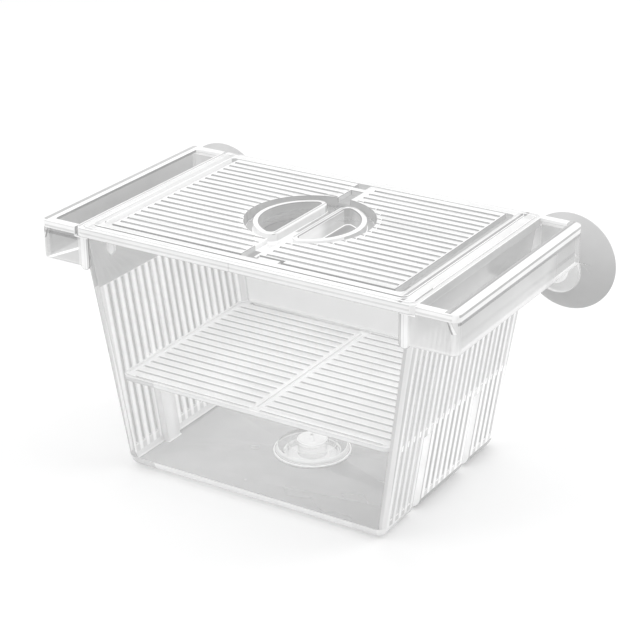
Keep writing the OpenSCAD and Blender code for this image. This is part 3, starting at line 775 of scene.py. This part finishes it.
def lid():
    """Frame with a bead, a sunk panel with bars, a collar for the hatch and two locating tabs."""
    far, wide = 140, 60
    cutter = slab(PANEL_L, PANEL_W, LID_R, PLATE_TOP, far)
    bars = block(-BARS_L / 2, BARS_L / 2, -BARS_W / 2, BARS_W / 2, PLATE_TOP - 1, LID_TOP)
    strip = block(-SPINE / 2, SPINE / 2, -wide, LAST_ROW - LID_PITCH + LID_SLOT / 2, PLATE_TOP - 2, far)
    notch = block(-SPINE / 2 - 1, SPINE / 2 - 1, LAST_ROW - LID_SLOT / 2, wide, PLATE_TOP, far)
    recess = block(4.1, 16.5, -wide, 3.6 - PANEL_W / 2, PLATE_TOP - 2, far)
    pad = block(5.3, 15.3, -PANEL_W / 2 - 1, 2.4 - PANEL_W / 2, PLATE_TOP - 1, LID_TOP)
    cut(bars, strip, notch, recess)
    cut(cutter, bars, pad)
    obj = slab(LID_L, LID_W, LID_R, SEAT, TANK_H)
    left, right = LOCATOR_X - LOCATOR_HALF, LOCATOR_X + LOCATOR_HALF
    outline = [(left, SEAT + 0.5), (left, LOCATOR_SHOULDER), (LOCATOR_X, LOCATOR_TIP), (right, LOCATOR_SHOULDER)]
    tab = prism(outline + [(right, SEAT + 0.5)], LOCATOR_Y0, LOCATOR_Y1)
    bead = slab(PANEL_L + 2 * BEAD, PANEL_W + 2 * BEAD, LID_R, SEAT, LID_TOP)
    join(obj, bead, disc(SUNK_R + COLLAR, HATCH_SEAT - COLLAR, SEAT + 0.5), mirrored(tab, -1, -1, 1), tab)
    cut(obj, cutter, disc(SUNK_R, HATCH_SEAT, far), disc(FEED_R, 90, far))
    with_finishes(obj)
    score(obj, (1, GLARE))
    slots(obj, pitch=LID_PITCH, rows=LID_ROWS, width=LID_SLOT, start=SPINE / 2 + SPINE_EDGE,
          end=BARS_L / 2 - END_BAR, circle=SUNK_R + COLLAR + 0.2, bottom=SEAT - 1, top=far, wall=FINISHES[GROOVE])

    def rule(p, n):
        x, r = abs(p.x), math.hypot(p.x, p.y)
        if n.z > 0.9:
            if p.z > TANK_H - 0.5:
                return BAR
            # Painted shade and highlight: the front groove is dark, and the spine is bright in the glare.
            if p.y < FRONT_GROOVE and SPINE / 2 < x < BARS_L / 2:
                return LINE
            return BAR if x < SPINE / 2 and GLARE < p.y < -SUNK_R + 1 else PLATE
        if abs(n.z) > 0.5:
            return PANE
        locator = p.z < SEAT - 1 and r > SUNK_R + 10
        left_wall = n.x > 0.9 and p.x < -70
        # Painted highlight: the spine's sides in the glare are bright.
        glare = x < SPINE / 2 + 0.3 and GLARE < p.y < -SUNK_R + 2
        if locator or left_wall or glare:
            return BAR
        return LINE if n.y < -0.5 and p.y < FRONT_GROOVE else PLATE if r < SUNK_R + 1 else GROOVE

    def edges(p, n):
        """Painted shade and highlight: the edges of the slots, the sunk strips and the round area are dark, except in
        the glare.
        """
        x, y, r = abs(p.x), abs(p.y), math.hypot(p.x, p.y)
        if p.z < TANK_H - 1:
            return PLATE if n.z > 0 else EDGE
        if r < SUNK_R + 0.5 or (x < SPINE / 2 + 1.5 and y < PANEL_W / 2 - 1):
            return EDGE if GLARE < p.y < -12 or (p.y < 5 and p.x > 0) else LINE
        if abs(x - BARS_L / 2) < 0.5 and y < BARS_W / 2:
            return LINE
        if p.y < FRONT_GROOVE:
            return LINE if y < PANEL_W / 2 + 0.5 else EDGE
        if x < BARS_L / 2 and y < LAST_ROW + LID_SLOT and abs(n.y) > 0.3:
            return LINE if n.y < 0 else GROOVE
        return EDGE
    dress(obj, "lid", ("lid",), 0.22, rule=rule, edges=edges)


# Tray

def tray():
    """Plate with a raised edge, rows of slots and a slit along its middle."""
    l, w = 2 * (end_x(PILLAR_TOP, INNER) - 0.5), 2 * (side_y(PILLAR_TOP, INNER) - 1.9)
    inner = (l - 2 * TRAY_LIP_W, w - 2 * TRAY_LIP_W, TRAY_R - TRAY_LIP_W / 2)
    z0 = PILLAR_TOP
    rings = [rounded(l, w, TRAY_R, z) for z in (z0, z0 + TRAY_LIP_H)]
    rings += [rounded(*inner, z) for z in (z0 + TRAY_LIP_H, z0 + TRAY_T)]
    obj = loft("tray_look", rings)
    half = (TRAY_ROWS / 2 - 1) * TRAY_PITCH
    cut(obj, block(-0.55, 0.55, -half, half, z0 - 1, z0 + 9))
    with_finishes(obj)
    # The two outermost rows stop short of the round corners
    most = (TRAY_ROWS - 2, TRAY_PITCH, TRAY_LIP_W + 1.5)
    outermost = (2, (TRAY_ROWS - 1) * TRAY_PITCH, TRAY_R + 1)
    for rows, pitch, end in (most, outermost):
        slots(obj, pitch=pitch, rows=rows, width=TRAY_SLOT, start=CROSS / 2, end=l / 2 - end, bottom=z0 - 1,
              top=z0 + TRAY_T + 1, wall=FINISHES[GROOVE])
    dress(obj, "tray", ("nursery_tray",), 0.3, rule=lambda p, n: BAR)


# Hanging frames, hatch, cups and plug

def frames():
    """The solids' own shapes, with their edges bevelled."""
    def rule(p, n):
        # Painted shade: inner faces are dark, LINE above the flange and STRIP below it.
        if abs(n.z) > 0.9:
            return BORDER if p.z > FLANGE_Z else BAR
        inner = abs(n.x) > 0.9 and n.x * p.x < 0
        if p.z > FLANGE_Z:
            return LINE if inner else BAR
        return STRIP if inner else WALLS

    def edges(p, n):
        if p.y < LEG_FRONT and abs(abs(p.x) - LEG_EDGE) < 0.5 and abs(n.x) > 0.3:
            return LINE
        return BORDER if abs(p.x - FLANGE_EDGE) < 0.6 and p.z > FLANGE_Z else EDGE
    for side in ("left", "right"):
        obj = from_solid(side + "_hanging_frame")
        with_finishes(obj)
        score(obj, (2, FLANGE_Z))
        dress(obj, "tank", (side + "_hanging_frame",), 0.35, rule=rule, edges=edges)


def hatch():
    """The solid's own shape, with its edges bevelled. The walls of the finger wells count as outer where they look
    away from the well's middle."""
    def rule(p, n):
        # Painted shade: the finger wells are dark (WELL).
        if n.z > 0.9:
            return BAR if p.z > TANK_H - 1 else PLATE if p.z > HATCH_SEAT else WELL
        if n.x > 0.99 and abs(p.x) < 7:
            return BAR
        outer = n.x * (p.x - math.copysign(WELL_X, p.x)) + n.y * p.y > 0
        return WELL if not outer else BAR if p.y < -8 and p.z > HATCH_SEAT else FLANK

    def edges(p, n):
        # Painted shade: edges round the wells on top are dark lines.
        if p.z > TANK_H - 1:
            return LINE if abs(p.x) > 5.5 and math.hypot(p.x, p.y) < 22.3 else EDGE
        return WELL if p.x < 0 and p.z < HATCH_SEAT - 1 else EDGE
    dress(from_solid("feeding_hatch"), "hatch", ("feeding_hatch",), 0.35, rule=rule, edges=edges)


def cups():
    """Bells on the frames' tabs. The profile runs from the head along the neck and the bell to its lip and back."""
    soft = plastic("soft_cup", 0.6, 0.93, 0.0, rough=0.35, shade=0.52)
    hub, lip = NECK_R + 3.4, FACE_GAP + CUP_DEPTH
    neck = FRAME_T + FACE_GAP
    bell = lambda u: FACE_GAP + CUP_DEPTH * (0.22 + 0.78 * u ** 1.7)
    profile = [(0, -neck - HEAD_T)]
    for step in range(7):
        a = math.radians(15 * step)
        along, out = HEAD_ROUND * (1 - math.cos(a)), HEAD_ROUND * math.sin(a)
        profile.append((HEAD_R - HEAD_ROUND + out, along - neck - HEAD_T))
    profile += [(HEAD_R, -neck), (NECK_R, -neck), (NECK_R, FACE_GAP), (hub, FACE_GAP)]
    profile += [(hub + 0.8 + (CUP_R - hub - 0.8) * step / 20, bell(step / 20)) for step in range(21)]
    profile += [(CUP_R, lip + 0.4), (CUP_R - 0.2, lip + 0.65), (CUP_R - 0.9, lip + 0.65)]
    profile += [(hub + (CUP_R - hub - 0.6) * step / 20, bell(step / 20) + BELL_T) for step in range(18, -1, -1)]
    profile.append((0, bell(0) + BELL_T))
    for side, sign in (("left", -1), ("right", 1)):
        obj = lathe(side + "_cup", profile)
        turn = Matrix.Rotation(math.radians(-90), 4, "X")
        obj.data.transform(Matrix.Translation((sign * CUP_X, RIM_W / 2, CUP_Z)) @ turn)
        obj.data.materials.append(soft)
        obj.data.materials.append(FINISHES[BAR])
        for face in obj.data.polygons:
            face.material_index = face.center.y < RIM_W / 2     # the head and the neck
        dress(obj, side + "_cup", (side + "_suction_cup",), 0)


def plug():
    """Domed cap with a flange, open below, a hollow spigot in the drain hole and a hub with a coin slot."""
    spigot = DRAIN_R - 0.05
    hollow, dome_r, top = spigot - PLUG_T, HUB_R + 1, WALL + DOME_H
    reach, rise = PLUG_R - PLUG_FLANGE - dome_r, DOME_H - PLUG_FLANGE_H

    def dome(a, t):
        """Point of the dome at an angle from its foot, t inside its skin."""
        return dome_r + (reach - t) * math.cos(a), WALL + PLUG_FLANGE_H + (rise - t) * math.sin(a)
    low = math.acos((hollow - dome_r) / (reach - PLUG_T))
    profile = [(0, 0.8), (HUB_R, 0.8), (HUB_R, dome(math.pi / 2, PLUG_T)[1])]
    profile += [dome(low + (math.pi / 2 - low) * step / 8, PLUG_T) for step in range(8, -1, -1)]
    profile += [(hollow, 0), (spigot, 0), (spigot, WALL), (PLUG_R, WALL)]
    profile += [(PLUG_R, WALL + PLUG_FLANGE_H - 0.4), (PLUG_R - 0.4, WALL + PLUG_FLANGE_H)]
    profile += [dome(math.pi / 2 * step / 18, 0) for step in range(19)]
    profile += [(HUB_R, top), (HUB_R - 0.3, top + HUB_RISE - 0.2), (HUB_R - 0.8, top + HUB_RISE), (0, top + HUB_RISE)]
    obj = lathe("plug", profile)
    half = HUB_SLOT / 2
    slot = block(-HUB_R * 0.55, HUB_R * 0.55, -half, half, top + HUB_RISE - 1.2, top + 5)
    slot.data.transform(Matrix.Rotation(math.radians(HUB_SLOT_TURN), 4, "Z"))
    cut(obj, slot)

    def rule(p, n):
        r = math.hypot(p.x, p.y)
        if n.z < 0:
            return PANE
        if r < HUB_R + 0.5:
            return BAR if n.z > 0.5 else DOME
        at_rim = r > PLUG_R - 0.5 or abs(r - (PLUG_R - 1.6)) < 0.4
        return EDGE if at_rim else DOME
    dress(obj, "plug", ("drain_plug",), 0.2, rule=rule)


scene = bpy.context.scene
scene.view_settings.view_transform = "Standard"
scene.cycles.transparent_max_bounces = 96
camera()
world()
floor()
area("key", (-0.7, -0.7, 1.1), (0, 0, 0.05), (0.8, 0.8), 3)
area("top", (0.1, 0.3, 1.3), (0, 0, 0.1), (1.2, 0.6), 3)
area("back", (0.7, 0.8, 0.7), (0, 0, 0.08), (0.6, 0.8), 2)

FINISHES = finishes()
SLOT_ROWS = slot_tree()
tank()
lid()
tray()
frames()
hatch()
cups()
plug()
